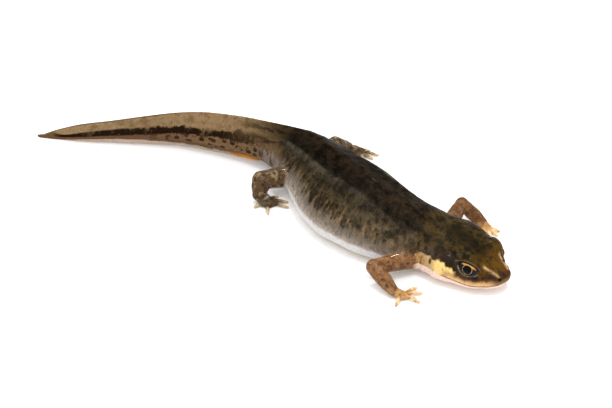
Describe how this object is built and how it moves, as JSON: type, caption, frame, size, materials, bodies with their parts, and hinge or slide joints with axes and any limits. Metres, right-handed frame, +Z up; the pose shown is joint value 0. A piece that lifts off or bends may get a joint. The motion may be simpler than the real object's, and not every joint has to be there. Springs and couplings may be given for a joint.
{
  "type": "smooth newt",
  "caption": "Life-size still newt resting on its belly and feet, legs splayed, tail laid out behind with an upper and a lower fin.",
  "frame": {"origin": "on the floor under the middle of the animal's bounding box", "axes": "+X from the tail's tip towards the snout, +Y to the animal's left, +Z up from the floor"},
  "size_m": [0.078, 0.0312, 0.0094],
  "materials": {
    "back_skin": "moist olive-brown skin, satin with small wet glints",
    "tail_skin": "moist tan skin with dark spots",
    "fin_skin": "thin ochre-brown fin, satin",
    "leg_skin": "moist orange-brown skin with dark speckles",
    "toe_skin": "pale yellow-brown skin",
    "eye": "clear glossy eye, gold iris, black pupil"
  },
  "bodies": {
    "root": {"head": "back_skin", "eye_right": "eye", "eye_left": "eye", "neck": "back_skin", "torso_front": "back_skin", "torso_rear": "back_skin", "tail_base": "tail_skin", "tail_middle": "tail_skin", "tail_tip": "tail_skin", "tail_fin_upper": "fin_skin", "tail_fin_lower": "fin_skin", "foreleg_right_upper_arm": "leg_skin", "foreleg_right_forearm": "leg_skin", "foreleg_right_hand": "toe_skin", "foreleg_left_upper_arm": "leg_skin", "foreleg_left_forearm": "leg_skin", "foreleg_left_hand": "toe_skin", "hindleg_right_thigh": "leg_skin", "hindleg_right_shank": "leg_skin", "hindleg_right_foot": "toe_skin", "hindleg_left_thigh": "leg_skin", "hindleg_left_shank": "leg_skin", "hindleg_left_foot": "toe_skin"}
  },
  "joints": []
}
